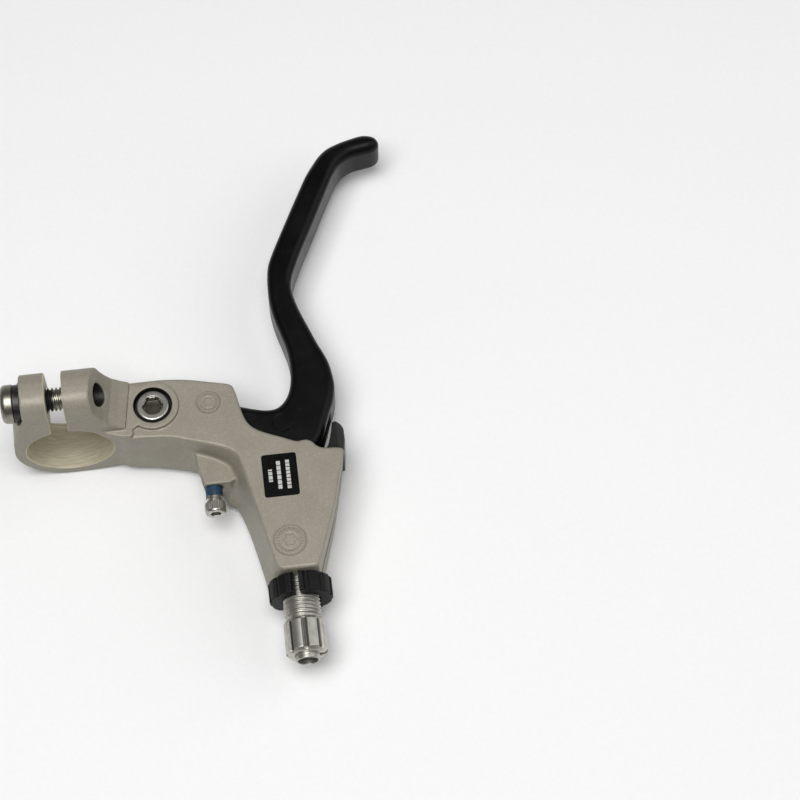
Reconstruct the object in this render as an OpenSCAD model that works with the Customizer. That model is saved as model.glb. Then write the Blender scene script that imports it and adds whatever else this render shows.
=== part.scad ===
// Flat-bar brake lever for a linear-pull rim brake. Sizes in millimetres.
// Origin: centre of the handlebar clamp bore. +Y runs along the handlebar,
// outboard; +X leads away from the bar to the blade; +Z is the pivot-head side.

/* [Handlebar clamp] */
// Bore of the handlebar clamp
clamp_bore_d = 22.2; // [22:0.1:22.4]
// Width of the clamp along the handlebar
clamp_w = 12.9; // [12.5:0.1:13.2]
// Left side of the split between the clamp ears
split_left = -3.6; // [-4:0.1:-3.4]
// Right side of the split between the clamp ears
split_right = 0.7; // [0.4:0.1:0.9]

/* [Blade] */
// Thickness of the blade across its flats
blade_t = 12; // [11.6:0.1:12.1]
// Edge rounding of the blade
blade_round = 1.8; // [1.4:0.1:1.8]

/* [Cable adjuster] */
// Radius over the barrel thread
thread_r = 4.75; // [4.6:0.05:4.8]
// Radius over the barrel head ridges
head_r = 5.3; // [5.1:0.1:5.5]
// Outside radius of the lock ring
ring_r = 8; // [7.5:0.1:8.2]
// Number of flutes round the barrel head
flutes = 8; // [6:1:10]

/* [Reach screw] */
// Radius of the reach screw thread
reach_r = 2; // [1.9:0.01:2]
// Radius of the reach screw head
reach_head_r = 2.6; // [2.5:0.1:3]

/* [Hidden] */
$fn = 64;
z_mid = -1.75;
z_near = 8;
z_far = -11.5;
slot_near = 5;
slot_far = -8.5;
boss_top = 9;
piv = [22.2, -0.4];
bolt_z = 17.3;
barrel_x = 54.4;
nose_end = -48.3;
reach_x = 35.3;
pin = [54.4, -7.2];
nipple = [54.4, -11.6];
blade_hi = z_mid + blade_t / 2;
blade_lo = z_mid - blade_t / 2;

// closed smooth curve through the points p, n steps per span
function cr(a, b, c, d, t) =
    0.5 * (2 * b + (c - a) * t + (2 * a - 5 * b + 4 * c - d) * t * t
    + (3 * b - a - 3 * c + d) * t * t * t);
function loop(p, n) = [for (i = [0:len(p) - 1]) for (k = [0:n - 1])
    cr(p[(i + len(p) - 1) % len(p)], p[i], p[(i + 1) % len(p)], p[(i + 2) % len(p)], k / n)];
// inward offset of an anticlockwise loop by d
function inward(q, d) = [for (i = [0:len(q) - 1])
    let (t = q[(i + 1) % len(q)] - q[(i + len(q) - 1) % len(q)])
    q[i] + d * [-t[1], t[0]] / norm(t)];
function arc(c, r, a0, a1, n) = [for (i = [0:n])
    c + r * [cos(a0 + (a1 - a0) * i / n), sin(a0 + (a1 - a0) * i / n)]];
function lift(q, z) = [for (p = q) [p[0], p[1], z]];

// ear clipping: triangles that fill the closed loop q
function turn(a, b, c) = (b[0] - a[0]) * (c[1] - a[1]) - (b[1] - a[1]) * (c[0] - a[0]);
function holds(a, b, c, p) = turn(a, b, p) > -1e-6 && turn(b, c, p) > -1e-6
    && turn(c, a, p) > -1e-6;
function corner(ids, k) = let (n = len(ids)) [ids[(k + n - 1) % n], ids[k % n],
    ids[(k + 1) % n]];
function is_ear(q, ids, k) = let (t = corner(ids, k))
    turn(q[t[0]], q[t[1]], q[t[2]]) > 1e-6
    && len([for (j = ids) if (j != t[0] && j != t[1] && j != t[2]
        && holds(q[t[0]], q[t[1]], q[t[2]], q[j])) 1]) == 0;
function next_ear(q, ids, k) = is_ear(q, ids, k) ? k % len(ids) : next_ear(q, ids, k + 1);
function ears(q, ids, start, out) = len(ids) == 3 ? concat(out, [ids])
    : let (k = next_ear(q, ids, start))
        ears(q, [for (i = [0:len(ids) - 1]) if (i != k) ids[i]], k + 1,
            concat(out, [corner(ids, k)]));
function fill(q) = ears(q, [for (i = [0:len(q) - 1]) i], 0, []);

// slab between two loops with its rims rounded by r
module slab(low, high, z0, z1, r, steps) {
    m = len(low);
    rings = concat(
        [for (a = steps) lift(inward(low, r * (1 - sin(a))), z0 + r * (1 - cos(a)))],
        [for (i = [len(steps) - 1:-1:0]) lift(inward(high, r * (1 - sin(steps[i]))),
            z1 - r * (1 - cos(steps[i])))]);
    pts = [for (g = rings) for (p = g) p];
    k = len(rings);
    sides = [for (j = [0:k - 2]) for (i = [0:m - 1])
        [j * m + i, (j + 1) * m + i, (j + 1) * m + (i + 1) % m, j * m + (i + 1) % m]];
    under = [for (t = fill(inward(low, r))) t];
    over = [for (t = fill(inward(high, r)))
        [t[2] + (k - 1) * m, t[1] + (k - 1) * m, t[0] + (k - 1) * m]];
    polyhedron(pts, concat(under, sides, over), convexity = 10);
}

// tube of radius r swept along path points
module sweep(path, r, sides) {
    n = len(path);
    rings = [for (i = [0:n - 1])
        let (t0 = path[min(i + 1, n - 1)] - path[max(i - 1, 0)], t = t0 / norm(t0),
             u0 = cross(t, [0, 0, 1]), u = u0 / norm(u0), v = cross(u, t))
        [for (k = [0:sides - 1])
            path[i] + r * (cos(360 * k / sides) * u + sin(360 * k / sides) * v)]];
    pts = [for (g = rings) for (p = g) p];
    side = [for (j = [0:n - 2]) for (i = [0:sides - 1])
        [j * sides + i, (j + 1) * sides + i, (j + 1) * sides + (i + 1) % sides,
         j * sides + (i + 1) % sides]];
    polyhedron(pts, concat([[for (i = [0:sides - 1]) i]], side,
        [[for (i = [sides - 1:-1:0]) (n - 1) * sides + i]]), convexity = 10);
}

module along_x(x0, x1, r) {
    translate([x0, 0, 0]) rotate([0, 90, 0]) cylinder(h = x1 - x0, r = r);
}
module along_y(y0, y1, r) {
    translate([0, y1, 0]) rotate([90, 0, 0]) cylinder(h = y1 - y0, r = r);
}

// outline of arm and nose on the near face
near_pts = [
    [4, -5], [11.2, -6.4], [14.5, -8.6], [20, -9], [26, -9.6], [31, -11.1], [36, -12.7],
    [39.6, -14.1], [41.8, -15.7], [42.8, -18], [43.6, -21.5], [45, -28], [46.7, -36],
    [48.2, -43], [48.9, -46.3], [50.3, -48.1], [52.5, -48.3], [57, -48.3], [59.3, -48.1],
    [60.2, -46.5], [62.2, -41], [65.3, -32], [67.5, -23.7], [68.8, -19.2], [68.9, -17.6],
    [67.2, -17], [64, -16.7], [62.5, -16], [61.4, -14.8], [60.2, -14], [58.8, -14],
    [57.2, -14], [54, -12.6], [50, -10.9], [47, -9.1], [45.2, -6.6], [44.1, -2.6],
    [43.2, 1.8], [42, 3.7], [37.4, 4.9], [31.7, 6.2], [26, 6.9], [20.5, 7], [16, 6.9],
    [11.2, 6.4], [4, 5]];
// outline of arm and nose on the far face, point for point
far_pts = [
    [4, -5], [11.2, -6.3], [14.5, -7.9], [20, -8.7], [26, -10], [30.5, -11.4], [34.5, -13.4],
    [36.7, -15.8], [37.5, -19], [38.3, -21.7], [40.6, -23.2], [42.9, -30], [44.4, -36.5],
    [45.7, -43], [46.3, -46.3], [47.6, -48.1], [50.5, -48.3], [57.4, -48.3], [59.6, -48.1],
    [60.3, -46.4], [61.9, -41], [64.7, -32], [66.8, -23.7], [67.9, -19.2], [67.9, -17.8],
    [66.3, -17], [64, -16.7], [62.5, -16], [61.4, -14.9], [60.2, -14.3], [58.8, -14.2],
    [57.2, -14], [54, -12.6], [50, -10.9], [47, -9.1], [45.2, -6.6], [44.1, -2.6],
    [43.2, 1.8], [42, 3.7], [37.4, 4.9], [31.7, 6.2], [26, 6.9], [20.5, 7], [16, 6.9],
    [11.2, 6.4], [4, 5]];
// outline of the blade in its own plane
blade_pts = concat([
    [88.2, 73.5], [87, 75.1], [84, 75.8], [80, 75], [76.8, 74], [74.1, 72.8],
    [71.8, 70.9], [70, 68.5], [67.6, 64.8], [63.9, 57.6], [59.3, 48.4], [56.4, 42.4],
    [55.1, 39], [54.6, 36], [54.4, 33], [54.4, 28.7], [55.1, 23.6], [56.4, 18.6],
    [57.5, 14.2], [57.9, 9.8], [57.7, 5.4], [56.9, 2], [55.5, -0.5], [53.6, -2.1],
    [51.4, -2.5], [48.8, -2.1], [43.6, -0.5], [36, 2.2], [28.5, 4.3]],
    arc(piv, 5.5, 80, 270, 7),
    [[26, -6.2], [30.5, -6.9], [35.3, -7.9], [40, -9], [45.5, -11.3], [50.5, -14.2],
    [54.5, -15.9], [58.5, -15.9], [62, -14.2], [64.2, -11.4], [65.6, -8], [66.9, -4.4],
    [67.9, -2], [68.5, 0.5], [68.8, 3.2], [68.5, 6.3], [67.9, 9.5], [66.9, 12.2],
    [65.6, 15.2], [64.1, 19.3], [62.3, 24.3], [61, 28.8], [60.6, 32.3], [61.2, 35.5],
    [62.5, 38.8], [64.3, 42.8], [68.3, 50.9], [72.5, 59.6], [74, 62.6], [75.4, 65.2],
    [77.4, 67.8], [80.4, 69.5], [83.3, 70.1], [86.3, 70.7], [87.9, 71.9]]);
near_loop = loop(near_pts, 2);
far_loop = loop(far_pts, 2);
blade_loop = loop(blade_pts, 2);

// side profile of the clamp, seen along the handlebar
module clamp_profile() {
    polygon(concat([[-9.9, 23.9], [-9.9, 18.4], [-11.2, 15.4], [-12.6, 10.5], [-13.7, 5],
        [-14.1, 0]], arc([0, 0], 14.1, 180, 268, 22),
        [[4, -13.9], [9, -13.1], [14, -12], [20, -11.2], [20, 23.9]]));
}
// hollow back of the threaded ear, running down into the neck
module ear_back() {
    polygon([[-30, 30], [-30, -20], [15.7, -20], [15.7, 9.5], [15.2, 9.9], [13.7, 11],
        [11.7, 12.8], [10.3, 15], [9, 17.8], [8.2, 20.7], [7.4, 23.9], [6.6, 30]]);
}

module clamp() {
    top = bolt_z + 1.45;
    intersection() {
        translate([0, clamp_w / 2, 0]) rotate([90, 0, 0])
            linear_extrude(height = clamp_w) clamp_profile();
        rotate([0, 0, -8.5]) translate([0, 20, 0]) rotate([90, 0, 0])
            linear_extrude(height = 40) ear_back();
        union() {
            translate([-20, -clamp_w / 2, -20]) cube([60, clamp_w, 20 + top]);
            translate([-20, 5 - clamp_w / 2, 0]) cube([60, clamp_w - 10, top + 5]);
            for (s = [-1, 1]) translate([0, s * (clamp_w / 2 - 5), top]) along_x(-20, 40, 5);
        }
    }
}

// raised step of the neck and the pivot boss
module pivot_step() {
    translate([0, 0, z_near - 1]) linear_extrude(height = boss_top - z_near + 1) {
        polygon(concat([[8, 6.4], [8, -6.4], [13.5, -8.3], [16.2, -8.6]],
            arc([15.6, -7.4], 1.2, -60, 40, 4), [[18.2, -5.6], [20, -4], [20, 5],
            [16.4, 6.4]]));
        translate(piv) circle(r = 6.6);
    }
}

module reach_boss() {
    translate([0, 0, z_mid - 3.2]) linear_extrude(height = 6.4)
        polygon([[31.2, -10.4], [31.8, -15], [33, -20.2], [33.5, -20.7], [39.7, -20.7],
            [40.4, -20.4], [43.4, -19], [43.4, -13], [41, -11.5]]);
}

module badge(x, y, r) {
    translate([x, y, z_near - 0.01]) {
        difference() {
            cylinder(h = 0.26, r = r);
            translate([0, 0, -1]) cylinder(h = 3, r = r - 0.55);
        }
        difference() {
            cylinder(h = 0.2, r = r * 0.45);
            translate([0, 0, -1]) cylinder(h = 3, r = r * 0.3);
        }
    }
}

module blade_channel() {
    cavity = concat(arc(piv, 6.3, 90, 270, 24),
        [[27, -7.3], [31, -8.6], [36, -10.3], [40, -12.2], [42.6, -14.6], [45, -18.6],
        [64.2, -18.6], [64.2, -12], [75, -12], [75, 15], [22.2, 15]]);
    translate([0, 0, slot_far]) linear_extrude(height = slot_near - slot_far)
        polygon(cavity);
}

module bracket_body() {
    color([0.66, 0.64, 0.58]) difference() {
        union() {
            slab(far_loop, near_loop, z_far, z_near, 0.7, [0, 45, 90]);
            clamp();
            pivot_step();
            reach_boss();
            badge(36.3, -0.85, 3.2);
            badge(53.2, -40.8, 4.3);
        }
        // handlebar bore and the split between the ears
        along_y(-30, 30, clamp_bore_d / 2);
        translate([split_left, -20, 3]) cube([split_right - split_left, 40, 30]);
        // clamp bolt: clearance and spot face on one ear, tapping on the other
        translate([0, 0, bolt_z]) {
            along_x(-20, split_left + 1, 3.3);
            along_x(-20, -9.95, 5.5);
            along_x(split_right - 1, 20, 3);
        }
        blade_channel();
        // pivot: counterbore, shank hole and nut seat
        translate([piv[0], piv[1], 6.2]) cylinder(h = 10, r = 4.92);
        translate([piv[0], piv[1], -20]) cylinder(h = 40, r = 2.55);
        translate([piv[0], piv[1], -20]) cylinder(h = 10.4, r = 4.65);
        // hole for the fixed leg of the spring
        translate([0, piv[1] + 4.85, -7.55]) along_x(13.8, 20, 0.62);
        // reach screw: thread and mouth
        translate([reach_x, 0, z_mid]) {
            along_y(-25, -8, reach_r + 0.06);
            along_y(-25, -17.1, 2.45);
        }
        // cable adjuster thread, and the open slot for the cable
        translate([barrel_x, 0, z_mid]) along_y(-60, -31, thread_r + 0.08);
        translate([barrel_x, 0, z_mid]) along_y(-40, -18, 1.6);
        translate([barrel_x, -60, z_mid - 1.3]) cube([30, 45, 2.6]);
        // seat of the nose cover
        translate([64.2, -18.5, slot_far]) cube([2.6, 8.5, slot_near - slot_far]);
        translate([64.2, -17, slot_far]) cube([8, 7, slot_near - slot_far]);
    }
}

module clamp_bolt() {
    color([0.75, 0.75, 0.74]) translate([0, 0, bolt_z]) difference() {
        union() {
            along_x(-12, 6.2, 2.95);
            translate([-11.87, 0, 0]) rotate([0, -90, 0]) rotate_extrude()
                polygon([[0, 0], [4.9, 0], [4.9, 1.5], [4.7, 2.1], [4.2, 2.6], [3.5, 2.9],
                    [2.9, 3], [0, 3]]);
        }
        translate([-20, 0, 0]) rotate([0, 90, 0]) cylinder(h = 7.8, r = 2.9, $fn = 6);
    }
}

module clamp_washer() {
    color([0.08, 0.08, 0.08]) translate([0, 0, bolt_z]) difference() {
        along_x(-11.85, -9.97, 4.7);
        along_x(-20, 0, 3.05);
    }
}

module lever_blade() {
    color([0.09, 0.09, 0.09]) difference() {
        union() {
            slab(blade_loop, blade_loop, blade_lo, blade_hi, blade_round, [0, 30, 60, 90]);
            translate([piv[0], piv[1], blade_lo]) cylinder(h = blade_t, r = 4.7);
        }
        translate([piv[0], piv[1], -20]) cylinder(h = 40, r = 3.25);
        // room for the return spring round the hub sleeve
        translate([piv[0], piv[1], -20]) difference() {
            cylinder(h = 16.4, r = 6.1);
            cylinder(h = 40, r = 4.1);
        }
        translate([piv[0], piv[1] + 4.85, -4.25]) along_x(3, 8.6, 0.55);
        // fork for the cable anchor
        translate([46.6, -20, z_mid - 3.1]) cube([32, 16, 6.2]);
        translate([pin[0], pin[1], -20]) cylinder(h = 40, r = 1.5);
        translate([reach_x, 0, z_mid]) along_y(-12, -4.9, 2.2);
    }
}

module lobes(r, depth) {
    cylinder(h = depth, r = r * 0.86);
    for (i = [0:5]) rotate(i * 60) translate([r * 0.78, 0, 0])
        cylinder(h = depth, r = r * 0.22);
}

module pivot_bolt() {
    color([0.72, 0.72, 0.7]) translate([piv[0], piv[1], 0]) difference() {
        union() {
            translate([0, 0, -11.3]) cylinder(h = 18, r = 2.5);
            translate([0, 0, 6.2]) rotate_extrude()
                polygon([[0, 0], [4.15, 0], [4.15, 1.9], [3.8, 2.3], [3.3, 2.5], [0, 2.5]]);
        }
        translate([0, 0, 6.7]) lobes(2.6, 4);
    }
}

module pivot_nut() {
    color([0.7, 0.7, 0.68]) translate([piv[0], piv[1], 0]) difference() {
        translate([0, 0, -11.4]) cylinder(h = 1.8, r = 4.6);
        translate([0, 0, -15]) cylinder(h = 10, r = 2.5);
        for (s = [-1, 1]) translate([s * 3.6, 0, -12]) cylinder(h = 1.6, r = 0.55);
    }
}

module pivot_washers() {
    color([0.85, 0.85, 0.82]) for (z = [slot_near - 0.31, slot_far + 0.01])
        translate([piv[0], piv[1], z]) difference() {
            cylinder(h = 0.3, r = 5);
            translate([0, 0, -1]) cylinder(h = 3, r = 2.55);
        }
}

module bushing(z, flange_r, up) {
    translate([piv[0], piv[1], z]) mirror([0, 0, up ? 0 : 1]) difference() {
        union() {
            cylinder(h = 0.4, r = flange_r);
            translate([0, 0, -5.4]) cylinder(h = 5.6, r = 3.2);
        }
        translate([0, 0, -10]) cylinder(h = 20, r = 2.54);
    }
}
module pivot_bushing_near() {
    color([0.72, 0.55, 0.3]) bushing(blade_hi + 0.02, 4.6, true);
}
module pivot_bushing_far() {
    color([0.72, 0.55, 0.3]) bushing(blade_lo - 0.02, 4.05, false);
}

module return_spring() {
    r = 4.85;
    c = [piv[0], piv[1]];
    coil = [for (a = [0:15:1080]) [c[0] - r * sin(a), c[1] + r * cos(a), -4.25 - 3.3 * a / 1080]];
    path = concat([[c[0] + 8.3, c[1] + r, -4.25], [c[0] + 1.2, c[1] + r, -4.25]], coil,
        [[c[0] - 1.2, c[1] + r, -7.55], [c[0] - 7.6, c[1] + r, -7.55]]);
    color([0.6, 0.6, 0.62]) sweep(path, 0.5, 10);
}

module cable_anchor() {
    color([0.68, 0.68, 0.66]) difference() {
        translate([0, 0, z_mid - 3]) linear_extrude(height = 6) {
            translate(pin) circle(r = 3.1);
            translate(nipple) circle(r = 4.7);
            polygon([pin + [-3.1, 0], nipple + [-4.7, 0], nipple + [4.7, 0],
                pin + [3.1, 0]]);
        }
        translate([pin[0], pin[1], -20]) cylinder(h = 40, r = 1.56);
        translate([nipple[0], nipple[1], -20]) cylinder(h = 40, r = 3.6);
        // mouth towards the front, and the cable slot below
        translate([nipple[0], nipple[1] - 2.5, -20]) cube([10, 5, 40]);
        translate([nipple[0] - 1, -20, z_mid - 1]) cube([10, 8, 2]);
    }
}

module anchor_pin() {
    color([0.1, 0.1, 0.1]) translate([pin[0], pin[1], 0]) rotate_extrude()
        polygon([[0, blade_lo - 0.62], [1.3, blade_lo - 0.62], [1.5, blade_lo - 0.5],
            [1.5, blade_lo - 0.42], [1.1, blade_lo - 0.42], [1.1, blade_lo - 0.04],
            [1.5, blade_lo - 0.04], [1.5, blade_hi + 0.02], [2.5, blade_hi + 0.02],
            [2.5, blade_hi + 0.4], [2.3, blade_hi + 0.55], [0, blade_hi + 0.55]]);
}

module anchor_clip() {
    color([0.3, 0.3, 0.32]) translate([pin[0], pin[1], blade_lo - 0.39]) difference() {
        cylinder(h = 0.34, r = 2.7);
        translate([0, 0, -1]) cylinder(h = 3, r = 1.15);
        translate([-0.8, -5, -1]) cube([1.6, 5, 3]);
    }
}

module reach_pad() {
    color([0.7, 0.7, 0.7]) translate([reach_x, 0, z_mid]) along_y(-8.25, -4.95, 2.19);
}

module reach_screw() {
    color([0.7, 0.7, 0.7]) translate([reach_x, 0, z_mid]) difference() {
        union() {
            along_y(-25, -9, reach_r);
            along_y(-9, -8.6, reach_r - 0.5);
            translate([0, -24.7, 0]) rotate([90, 0, 0]) rotate_extrude()
                polygon([[0, 0], [reach_head_r, 0], [reach_head_r, 2.5],
                    [reach_head_r - 0.5, 3], [0, 3]]);
        }
        translate([0, -25.9, 0]) rotate([90, 30, 0]) cylinder(h = 5, r = 1.45, $fn = 6);
    }
}

module reach_screw_patch() {
    color([0.1, 0.3, 0.5]) translate([reach_x, 0, z_mid]) difference() {
        along_y(-23.5, -19.6, reach_r + 0.2);
        along_y(-30, 0, reach_r + 0.03);
    }
}

module barrel_adjuster() {
    turns = [for (i = [0:19]) for (s = [0, 1]) [s == 0 ? thread_r - 0.5 : thread_r,
        1.2 + i + s * 0.5]];
    color([0.8, 0.8, 0.78]) translate([barrel_x, 0, z_mid]) difference() {
        union() {
            // thread as rings, then the fluted head
            translate([0, -37, 0]) rotate([90, 0, 0]) rotate_extrude()
                polygon(concat([[0, 0], [thread_r - 0.9, 0], [thread_r - 0.5, 0.6]], turns,
                    [[thread_r - 0.6, 21.3], [thread_r - 0.6, 22.1], [0, 22.1]]));
            difference() {
                translate([0, -58.9, 0]) rotate([90, 0, 0]) rotate_extrude()
                    polygon([[0, 0], [head_r - 1.1, 0], [head_r, 1.1], [head_r, 8.1],
                        [head_r - 1, 9.1], [0, 9.1]]);
                for (i = [0:flutes - 1]) rotate([0, i * 360 / flutes, 0])
                    translate([head_r + 0.15, 0, 0]) along_y(-80, -57, 0.8);
            }
        }
        along_y(-80, -30, 1.3);
        along_y(-80, -62.7, 3.1);
        translate([0, -80, -1]) cube([20, 60, 2]);
    }
}

module housing_ferrule() {
    color([0.75, 0.75, 0.72]) translate([barrel_x, 0, z_mid]) difference() {
        along_y(-69.4, -62.75, 3.05);
        along_y(-80, -63.8, 2.55);
        along_y(-80, -60, 1.3);
    }
}

module lock_ring() {
    color([0.07, 0.07, 0.07]) translate([barrel_x, 0, z_mid]) difference() {
        translate([0, -48.35, 0]) rotate([90, 0, 0]) rotate_extrude()
            polygon([[4, 0], [ring_r - 0.5, 0], [ring_r, 0.5], [ring_r, 4.7],
                [ring_r - 0.5, 5.2], [4, 5.2]]);
        along_y(-60, -40, thread_r + 0.08);
        for (i = [0:11]) rotate([0, i * 30 + 12, 0]) translate([ring_r + 0.25, 0, 0])
            along_y(-60, -40, 0.8);
        rotate([0, -97, 0]) translate([0, -60, -0.65]) cube([20, 20, 1.3]);
    }
}

module nose_cover() {
    color([0.2, 0.2, 0.2]) difference() {
        translate([0, 0, slot_far + 0.1]) linear_extrude(height = slot_near - slot_far - 0.2)
            polygon(concat([[64.4, -18.4], [64.4, -16]], arc(piv, 45.5, -18.6, -10.5, 8),
                [[67.7, -8.5]], arc([67.8, -10.5], 2, 80, 5, 5),
                [[69.8, -13], [69.2, -16.9], [66.6, -16.9], [66.6, -18.4]]));
        translate([60, -30, z_mid - 1.3]) cube([8, 18, 2.6]);
    }
}

module label_plate() {
    color([0.03, 0.03, 0.03]) translate([52.5 - 4.4, -23.1 - 5.8, z_near])
        cube([8.8, 11.6, 0.15]);
}

bracket_body();
clamp_bolt();
clamp_washer();
lever_blade();
pivot_bolt();
pivot_nut();
pivot_washers();
pivot_bushing_near();
pivot_bushing_far();
return_spring();
cable_anchor();
anchor_pin();
anchor_clip();
reach_pad();
reach_screw();
reach_screw_patch();
barrel_adjuster();
housing_ferrule();
lock_ring();
nose_cover();
label_plate();
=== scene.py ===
"""Looks of a flat-bar brake lever: cast bracket, black blade, screws and cable adjuster.

Lengths are in millimetres until a mesh is made; MM turns them into metres. Most pieces
are the zero surface of a field: a function of x, y, z that is negative inside the piece.
"""

import math

import bpy
import numpy as np
import openvdb as vdb
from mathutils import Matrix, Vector


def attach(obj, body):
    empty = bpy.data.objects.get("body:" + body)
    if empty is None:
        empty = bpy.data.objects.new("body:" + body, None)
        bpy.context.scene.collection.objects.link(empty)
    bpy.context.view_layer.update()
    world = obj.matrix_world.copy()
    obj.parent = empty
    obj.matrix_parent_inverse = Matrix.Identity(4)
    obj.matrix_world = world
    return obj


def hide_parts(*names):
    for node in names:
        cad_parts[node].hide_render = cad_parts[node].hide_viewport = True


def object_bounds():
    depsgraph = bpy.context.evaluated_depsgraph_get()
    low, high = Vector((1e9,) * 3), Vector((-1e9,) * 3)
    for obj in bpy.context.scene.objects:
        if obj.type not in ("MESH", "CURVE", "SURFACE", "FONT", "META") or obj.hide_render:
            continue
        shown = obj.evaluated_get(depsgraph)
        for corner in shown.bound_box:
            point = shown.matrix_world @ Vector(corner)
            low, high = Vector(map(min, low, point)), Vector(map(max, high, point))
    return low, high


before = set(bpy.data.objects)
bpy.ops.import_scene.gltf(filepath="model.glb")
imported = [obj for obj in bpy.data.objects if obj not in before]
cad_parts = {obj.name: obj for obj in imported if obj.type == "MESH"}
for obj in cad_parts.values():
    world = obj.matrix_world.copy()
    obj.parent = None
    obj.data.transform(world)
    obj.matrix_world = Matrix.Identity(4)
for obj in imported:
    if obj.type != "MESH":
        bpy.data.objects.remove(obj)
cad_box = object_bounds()

MM = 0.001

# Planes and centres shared with the CAD model
Z_MID = -1.75
Z_NEAR = 8.0
Z_FAR = -11.5
SLOT_NEAR = 5.0
SLOT_FAR = -8.5
STEP_TOP = 9.0
CLAMP_R = 11.1
CLAMP_HALF = 6.45
SPLIT = (-3.6, 0.7)
BOLT_Z = 17.3
PIVOT = (22.2, -0.4)
PIVOT_TOP = 8.7
PIVOT_SEAT_R = 4.92
RECESS_R = 2.6
PIN = (54.4, -7.2)
BARREL_X = 54.4
REACH_X = 35.3
BLADE_HALF = 6.0
THREAD_R = 4.75
HEAD_R = 5.3
HEAD_ENDS = (-68, -58.9)
RING_R = 8.0
FLUTES = 8

# Outline of arm and nose on the near face
NEAR_POINTS = [
    (4, -5), (11.2, -6.4), (14.5, -8.6), (20, -9), (26, -9.6), (31, -11.1), (36, -12.7),
    (39.6, -14.1), (41.8, -15.7), (42.8, -18), (43.6, -21.5), (45, -28), (46.7, -36),
    (48.2, -43), (48.9, -46.3), (50.3, -48.1), (52.5, -48.3), (57, -48.3), (59.3, -48.1),
    (60.2, -46.5), (62.2, -41), (65.3, -32), (67.5, -23.7), (68.8, -19.2), (68.9, -17.6),
    (67.2, -17), (64, -16.7), (62.5, -16), (61.4, -14.8), (60.2, -14), (58.8, -14),
    (57.2, -14), (54, -12.6), (50, -10.9), (47, -9.1), (45.2, -6.6), (44.1, -2.6),
    (43.2, 1.8), (42, 3.7), (37.4, 4.9), (31.7, 6.2), (26, 6.9), (20.5, 7), (16, 6.9),
    (11.2, 6.4), (4, 5)]
# Outline of arm and nose on the far face
FAR_POINTS = [
    (4, -5), (11.2, -6.3), (14.5, -7.9), (20, -8.7), (26, -10), (30.5, -11.4),
    (34.5, -13.4), (36.7, -15.8), (37.5, -19), (38.3, -21.7), (40.6, -23.2), (42.9, -30),
    (44.4, -36.5), (45.7, -43), (46.3, -46.3), (47.6, -48.1), (50.5, -48.3), (57.4, -48.3),
    (59.6, -48.1), (60.3, -46.4), (61.9, -41), (64.7, -32), (66.8, -23.7), (67.9, -19.2),
    (67.9, -17.8), (66.3, -17), (64, -16.7), (62.5, -16), (61.4, -14.9), (60.2, -14.3),
    (58.8, -14.2), (57.2, -14), (54, -12.6), (50, -10.9), (47, -9.1), (45.2, -6.6),
    (44.1, -2.6), (43.2, 1.8), (42, 3.7), (37.4, 4.9), (31.7, 6.2), (26, 6.9), (20.5, 7),
    (16, 6.9), (11.2, 6.4), (4, 5)]
# Outline of the blade from its tip, down the bar side, round the hub and back
BLADE_BAR_SIDE = [
    (88.2, 73.5), (87, 75.1), (84, 75.8), (80, 75), (76.8, 74), (74.1, 72.8), (71.8, 70.9),
    (70, 68.5), (67.6, 64.8), (63.9, 57.6), (59.3, 48.4), (56.4, 42.4), (55.1, 39),
    (54.6, 36), (54.4, 33), (54.4, 28.7), (55.1, 23.6), (56.4, 18.6), (57.5, 14.2),
    (57.9, 9.8), (57.7, 5.4), (56.9, 2), (55.5, -0.5), (53.6, -2.1), (51.4, -2.5),
    (48.8, -2.1), (43.6, -0.5), (36, 2.2), (28.5, 4.3)]
BLADE_FINGER_SIDE = [
    (26, -6.2), (30.5, -6.9), (35.3, -7.9), (40, -9), (45.5, -11.3), (50.5, -14.2),
    (54.5, -15.9), (58.5, -15.9), (62, -14.2), (64.2, -11.4), (65.6, -8), (66.9, -4.4),
    (67.9, -2), (68.5, 0.5), (68.8, 3.2), (68.5, 6.3), (67.9, 9.5), (66.9, 12.2),
    (65.6, 15.2), (64.1, 19.3), (62.3, 24.3), (61, 28.8), (60.6, 32.3), (61.2, 35.5),
    (62.5, 38.8), (64.3, 42.8), (68.3, 50.9), (72.5, 59.6), (74, 62.6), (75.4, 65.2),
    (77.4, 67.8), (80.4, 69.5), (83.3, 70.1), (86.3, 70.7), (87.9, 71.9)]
# Left side of the clamp, seen along the handlebar, from the ear's top down
CLAMP_LEFT = [(-9.9, 23.9), (-9.9, 18.4), (-11.2, 15.4), (-12.6, 10.5), (-13.7, 5), (-14.1, 0)]
# Its lower right side, under the neck, and the hollow back of the threaded ear
CLAMP_RIGHT = [(4, -13.9), (9, -13.1), (14, -12), (20, -11.2), (20, 23.9)]
EAR_BACK = [
    (-30, 30), (-30, -20), (15.7, -20), (15.7, 9.5), (15.2, 9.9), (13.7, 11), (11.7, 12.8),
    (10.3, 15), (9, 17.8), (8.2, 20.7), (7.4, 23.9), (6.6, 30)]
REACH_BOSS = [
    (31.2, -10.4), (31.8, -15), (33, -20.2), (33.5, -20.7), (39.7, -20.7), (40.4, -20.4),
    (43.4, -19), (43.4, -13), (41, -11.5)]


# ---------------------------------------------------------------- fields

def arc(centre, radius, start, end, steps):
    """Points of a round stretch, angles in degrees."""
    angles = np.radians(np.linspace(start, end, steps + 1))
    return [(centre[0] + radius * math.cos(a), centre[1] + radius * math.sin(a))
            for a in angles]


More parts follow.
